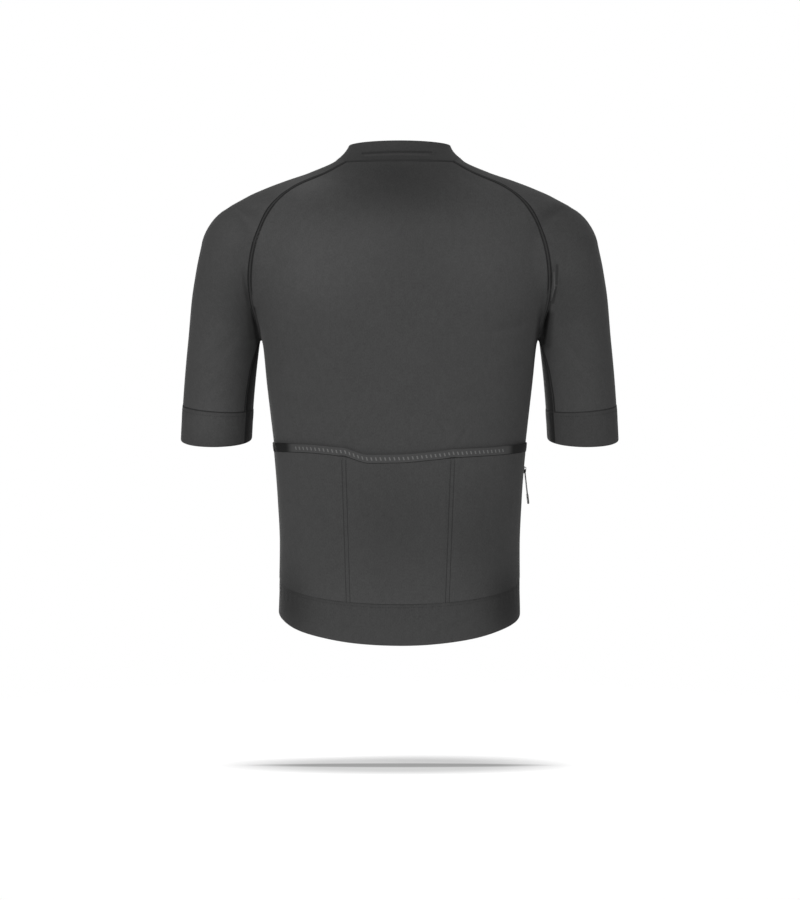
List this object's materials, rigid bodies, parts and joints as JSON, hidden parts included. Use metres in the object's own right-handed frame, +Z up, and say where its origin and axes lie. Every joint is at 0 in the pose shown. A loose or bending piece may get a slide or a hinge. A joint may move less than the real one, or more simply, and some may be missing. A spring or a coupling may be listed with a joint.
{
  "type": "cycling jersey",
  "caption": "Fitted short-sleeved raglan cycling jersey with a low stand-up collar, full front zip, folded cuffs, hem band, back pockets and a small side zip.",
  "frame": {"origin": "middle of the neck opening at the height of the side neck points, where the wearer's neck and shoulders hold the jersey", "axes": "+Z up through the neck opening, the chest faces -Y and the back +Y, +X towards the wearer's left sleeve"},
  "size_m": [0.5978, 0.2313, 0.6657],
  "materials": {
    "knit": "fine charcoal jersey knit with a soft sheen",
    "folded_knit": "same knit, folded double, at collar, cuffs and hem",
    "elastic": "dark woven elastic with small grey dashes",
    "zip_tape": "matt black woven tape with moulded teeth",
    "slider_metal": "black enamelled metal",
    "soft_pull": "dark grey moulded pull"
  },
  "bodies": {
    "jersey": {"back_panel": "knit", "front_left": "knit", "front_right": "knit", "sleeve_left": "knit", "sleeve_right": "knit", "cuff_left": "folded_knit", "cuff_right": "folded_knit", "hem_band": "folded_knit", "collar": "folded_knit", "pocket_panel": "knit", "pocket_band": "elastic", "front_zip": "zip_tape", "side_zip": "zip_tape", "front_slider": "slider_metal", "side_slider": "slider_metal"},
    "front_zip_pull": {"front_pull": "soft_pull"},
    "side_zip_pull": {"side_pull": "soft_pull"}
  },
  "joints": [
    {"name": "front_pull_swing", "type": "hinge", "parent": "jersey", "child": "front_zip_pull", "pos_m": [0, -0.06142, -0.03209], "axis": [-1, 0, 0], "range_deg": [0, 165]},
    {"name": "side_pull_swing", "type": "hinge", "parent": "jersey", "child": "side_zip_pull", "pos_m": [-0.16998, -0.01449, -0.42014], "axis": [-0.155, 0.9878, -0.0134], "range_deg": [-10, 160]}
  ]
}
